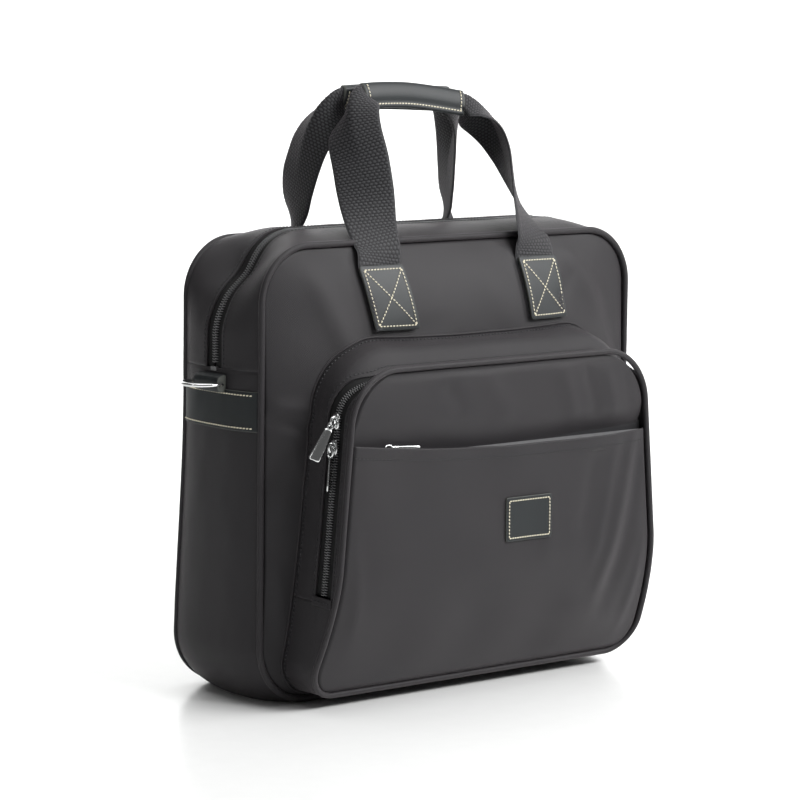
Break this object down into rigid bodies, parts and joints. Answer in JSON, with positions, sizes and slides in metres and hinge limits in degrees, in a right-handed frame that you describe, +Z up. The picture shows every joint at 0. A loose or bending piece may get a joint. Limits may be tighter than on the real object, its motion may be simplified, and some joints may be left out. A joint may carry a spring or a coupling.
{
  "type": "flight bag",
  "caption": "Soft nylon briefcase with domed panels, zipped top, zipped front pocket with slip pocket, webbing handles with leather grips, and side D-rings.",
  "frame": {"origin": "middle of the footprint of the whole bag, on the surface it stands on", "axes": "+Z up, +X to the right seen from the front, the front pocket faces -Y"},
  "size_m": [0.4416, 0.1886, 0.4665],
  "materials": {
    "nylon": "satin",
    "piping": "satin",
    "lining": "matte",
    "webbing": "matte",
    "leather": "semi-gloss",
    "chrome": "polished",
    "coil": "satin",
    "zip_tape": "matte",
    "board": "matte"
  },
  "bodies": {
    "bag_body": {"lower_gusset": "nylon", "front_zip_strip": "nylon", "front_panel": "nylon", "front_piping": "piping", "rear_panel_lower": "nylon", "rear_piping_lower": "piping", "main_zip_coil_front": "coil", "main_zip_tape_front": "zip_tape", "main_zip_end_stops": "coil", "side_band_left": "leather", "side_band_right": "leather", "ring_loop_left": "leather", "ring_loop_right": "leather", "front_strap_ends": "webbing", "front_patches": "leather", "pocket_gusset_lower": "nylon", "pocket_gusset_rear": "nylon", "pocket_zip_coil_rear": "coil", "pocket_zip_tape_rear": "zip_tape", "pocket_zip_end_tabs": "nylon", "base_board": "board", "divider": "lining"},
    "rear_flap": {"rear_zip_strip": "nylon", "rear_panel_upper": "nylon", "rear_piping_upper": "piping", "main_zip_coil_rear": "coil", "main_zip_tape_rear": "zip_tape", "rear_strap_ends": "webbing", "rear_patches": "leather"},
    "pocket_face": {"pocket_gusset_front": "nylon", "pocket_zip_coil_front": "coil", "pocket_zip_tape_front": "zip_tape", "pocket_piping": "piping", "pocket_upper_panel": "nylon", "slip_pocket_panel": "nylon", "slip_pocket_backing": "lining", "slip_zip_coil_upper": "coil", "slip_zip_coil_lower": "coil", "slip_zip_tape_upper": "zip_tape", "slip_zip_tape_lower": "zip_tape", "label_patch": "leather"},
    "front_handle": {"front_webbing": "webbing", "front_grip": "leather"},
    "rear_handle": {"rear_webbing": "webbing", "rear_grip": "leather"},
    "d_ring_left": {"d_ring_left": "chrome"},
    "d_ring_right": {"d_ring_right": "chrome"},
    "main_slider_lower": {"main_slider_lower": "chrome"},
    "main_slider_upper": {"main_slider_upper": "chrome"},
    "main_pull_lower": {"main_pull_lower": "chrome"},
    "main_pull_upper": {"main_pull_upper": "chrome"},
    "pocket_slider_lower": {"pocket_slider_lower": "chrome"},
    "pocket_slider_upper": {"pocket_slider_upper": "chrome"},
    "pocket_pull_lower": {"pocket_pull_lower": "chrome"},
    "pocket_pull_upper": {"pocket_pull_upper": "chrome"},
    "slip_slider": {"slip_slider": "chrome"},
    "slip_pull": {"slip_pull": "chrome"}
  },
  "joints": [
    {"name": "mouth_open", "type": "hinge", "parent": "bag_body", "child": "rear_flap", "pos_m": [0, 0.09053, 0.2521], "axis": [-1, 0, 0], "range_deg": [0, 25]},
    {"name": "pocket_open", "type": "hinge", "parent": "bag_body", "child": "pocket_face", "pos_m": [0, -0.05947, 0.006], "axis": [1, 0, 0], "range_deg": [0, 12]},
    {"name": "front_handle_swing", "type": "hinge", "parent": "bag_body", "child": "front_handle", "pos_m": [0, -0.03877, 0.331], "axis": [1, 0, 0], "range_deg": [0, 125]},
    {"name": "rear_handle_swing", "type": "hinge", "parent": "rear_flap", "child": "rear_handle", "pos_m": [0, 0.07583, 0.331], "axis": [-1, 0, 0], "range_deg": [0, 125]},
    {"name": "d_ring_left_swing", "type": "hinge", "parent": "bag_body", "child": "d_ring_left", "pos_m": [-0.1983, 0.01853, 0.2432], "axis": [0, 1, 0], "range_deg": [-70, 70]},
    {"name": "d_ring_right_swing", "type": "hinge", "parent": "bag_body", "child": "d_ring_right", "pos_m": [0.1983, 0.01853, 0.2432], "axis": [0, -1, 0], "range_deg": [-70, 40]},
    {"name": "main_slider_lower_slide", "type": "slide", "parent": "bag_body", "child": "main_slider_lower", "axis": [0, 0, 1], "range_m": [-0.0045, 0]},
    {"name": "main_slider_upper_slide", "type": "slide", "parent": "bag_body", "child": "main_slider_upper", "axis": [0, 0, 1], "range_m": [0, 0.013]},
    {"name": "main_pull_lower_swing", "type": "hinge", "parent": "main_slider_lower", "child": "main_pull_lower", "pos_m": [0.1972, 0.01853, 0.266], "axis": [0, -1, 0], "range_deg": [0, 24]},
    {"name": "main_pull_upper_swing", "type": "hinge", "parent": "main_slider_upper", "child": "main_pull_upper", "pos_m": [0.1972, 0.01853, 0.285], "axis": [0, -1, 0], "range_deg": [0, 110]},
    {"name": "pocket_slider_lower_slide", "type": "slide", "parent": "bag_body", "child": "pocket_slider_lower", "axis": [0.0867, 0, 0.9962], "range_m": [-0.105, 0]},
    {"name": "pocket_slider_upper_slide", "type": "slide", "parent": "bag_body", "child": "pocket_slider_upper", "axis": [0.0867, 0, 0.9962], "range_m": [0, 0.007]},
    {"name": "pocket_pull_lower_swing", "type": "hinge", "parent": "pocket_slider_lower", "child": "pocket_pull_lower", "pos_m": [-0.15577, -0.07147, 0.19928], "axis": [0, 1, 0], "range_deg": [0, 50]},
    {"name": "pocket_pull_upper_swing", "type": "hinge", "parent": "pocket_slider_upper", "child": "pocket_pull_upper", "pos_m": [-0.15412, -0.07147, 0.21821], "axis": [0, 1, 0], "range_deg": [0, 110]},
    {"name": "slip_slider_slide", "type": "slide", "parent": "pocket_face", "child": "slip_slider", "axis": [1, 0, 0], "range_m": [0, 0.225]},
    {"name": "slip_pull_swing", "type": "hinge", "parent": "slip_slider", "child": "slip_pull", "pos_m": [-0.122, -0.09027, 0.1933], "axis": [0, -1, 0], "range_deg": [0, 95]}
  ]
}
